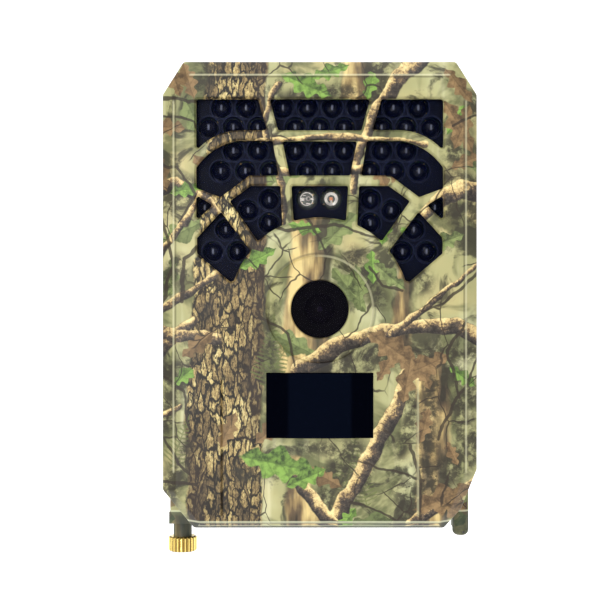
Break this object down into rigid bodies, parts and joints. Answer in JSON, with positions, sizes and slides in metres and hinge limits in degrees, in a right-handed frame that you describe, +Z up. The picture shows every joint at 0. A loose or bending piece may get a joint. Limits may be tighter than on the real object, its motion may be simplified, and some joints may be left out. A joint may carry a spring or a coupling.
{
  "type": "trail camera",
  "caption": "Wildlife camera in a hinged two-part case with a lens, a lit grille, a heat sensor window, a clamp nut and a strap bracket.",
  "frame": {"origin": "mouth of the tripod socket in the bottom face", "axes": "+Z up, the lens looks along -Y, +X is the hinge side"},
  "size_m": [0.0919, 0.074, 0.1459],
  "materials": {
    "printed_shell": "satin, water-transfer woodland print",
    "dark_panel": "glossy dark tinted acrylic",
    "cup_plastic": "moulded, dark",
    "ir_led_resin": "tinted epoxy",
    "clear_resin": "clear epoxy",
    "window_glass": "polished dark glass",
    "optical_glass": "coated",
    "filter_glass": "coated",
    "black_plastic": "moulded",
    "pir_plastic": "dark polyethylene",
    "sensor_can": "plated",
    "circuit_board": "solder mask",
    "header_plastic": "moulded",
    "coil": "wound",
    "chip": "moulded",
    "tin_plate": "stamped",
    "display_frame": "stamped",
    "display_glass": "polished",
    "panel_plastic": "fine texture",
    "key_rubber": "matt",
    "slider_plastic": "moulded",
    "card_plastic": "moulded",
    "cell_wrap": "printed sleeve",
    "contact_metal": "nickel plated",
    "screw_steel": "zinc plated",
    "seal_rubber": "silicone",
    "brass": "turned, bright",
    "pin_steel": "ground",
    "bracket_plastic": "moulded",
    "pad_rubber": "matt"
  },
  "bodies": {
    "rear": {"rear_shell": "printed_shell", "housing_seal": "seal_rubber", "tripod_insert": "brass", "hinge_pin": "pin_steel", "hinge_cap": "printed_shell", "clamp_stud": "brass", "tree_bracket": "bracket_plastic", "bark_pads": "pad_rubber", "bracket_screws": "screw_steel"},
    "front": {"front_shell": "printed_shell", "ir_filter_panel": "dark_panel", "led_cup_plate": "cup_plastic", "ir_leds": "ir_led_resin", "light_sensor": "clear_resin", "status_led": "clear_resin", "lens_window": "window_glass", "front_element": "optical_glass", "lens_barrel": "black_plastic", "lens_holder": "black_plastic", "pir_cone": "black_plastic", "pir_lens": "pir_plastic", "pir_sensor": "sensor_can", "led_board": "circuit_board", "sensor_board": "circuit_board", "pir_board": "circuit_board", "main_board": "circuit_board", "board_headers": "header_plastic", "shuttle_coil": "coil", "image_sensor": "chip", "microphone": "sensor_can", "key_switches": "tin_plate", "power_switch": "tin_plate", "card_slot": "tin_plate", "usb_socket": "tin_plate", "display_module": "display_frame", "display_glass": "display_glass", "inner_panel": "panel_plastic", "battery_box": "panel_plastic", "battery_cells": "cell_wrap", "contact_plates": "contact_metal", "contact_springs": "contact_metal", "board_screws": "screw_steel", "panel_screws": "screw_steel", "lens_seal": "seal_rubber"},
    "sleeve": {"clamp_sleeve": "printed_shell"},
    "nut": {"thumb_nut": "brass"},
    "shuttle": {"ir_cut_shuttle": "black_plastic", "filter_glasses": "filter_glass"},
    "slider": {"power_slider": "slider_plastic"},
    "card": {"memory_card": "card_plastic"},
    "ok_key": {"ok_key": "key_rubber"},
    "up_key": {"up_key": "key_rubber"},
    "down_key": {"down_key": "key_rubber"},
    "left_key": {"left_key": "key_rubber"},
    "right_key": {"right_key": "key_rubber"},
    "menu_key": {"menu_key": "key_rubber"}
  },
  "joints": [
    {"name": "case_hinge", "type": "hinge", "parent": "rear", "child": "front", "pos_m": [0.0428, -0.018, 0], "axis": [0, 0, 1], "range_deg": [0, 105]},
    {"name": "nut_travel", "type": "slide", "parent": "rear", "child": "sleeve", "axis": [0, 0, -1], "range_m": [0, 0.003]},
    {"name": "nut_turn", "type": "hinge", "parent": "sleeve", "child": "nut", "pos_m": [-0.042, -0.0155, -0.008], "axis": [0, 0, -1], "range_deg": [0, 2161]},
    {"name": "filter_shift", "type": "slide", "parent": "front", "child": "shuttle", "axis": [1, 0, 0], "range_m": [0, 0.0065]},
    {"name": "power_switch_slide", "type": "slide", "parent": "front", "child": "slider", "axis": [1, 0, 0], "range_m": [0, 0.004]},
    {"name": "card_slide", "type": "slide", "parent": "front", "child": "card", "axis": [-1, 0, 0], "range_m": [0, 0.012]},
    {"name": "ok_key_press", "type": "slide", "parent": "front", "child": "ok_key", "axis": [0, -1, 0], "range_m": [0, 0.0005], "stiffness_N_per_m": 2000, "springref_m": -0.0003},
    {"name": "up_key_press", "type": "slide", "parent": "front", "child": "up_key", "axis": [0, -1, 0], "range_m": [0, 0.0005], "stiffness_N_per_m": 2000, "springref_m": -0.0003},
    {"name": "down_key_press", "type": "slide", "parent": "front", "child": "down_key", "axis": [0, -1, 0], "range_m": [0, 0.0005], "stiffness_N_per_m": 2000, "springref_m": -0.0003},
    {"name": "left_key_press", "type": "slide", "parent": "front", "child": "left_key", "axis": [0, -1, 0], "range_m": [0, 0.0005], "stiffness_N_per_m": 2000, "springref_m": -0.0003},
    {"name": "right_key_press", "type": "slide", "parent": "front", "child": "right_key", "axis": [0, -1, 0], "range_m": [0, 0.0005], "stiffness_N_per_m": 2000, "springref_m": -0.0003},
    {"name": "menu_key_press", "type": "slide", "parent": "front", "child": "menu_key", "axis": [0, -1, 0], "range_m": [0, 0.0005], "stiffness_N_per_m": 2000, "springref_m": -0.0003}
  ],
  "couplings": [
    {"joint": "nut_turn", "follows": "nut_travel", "rad_per_m": 12566}
  ]
}
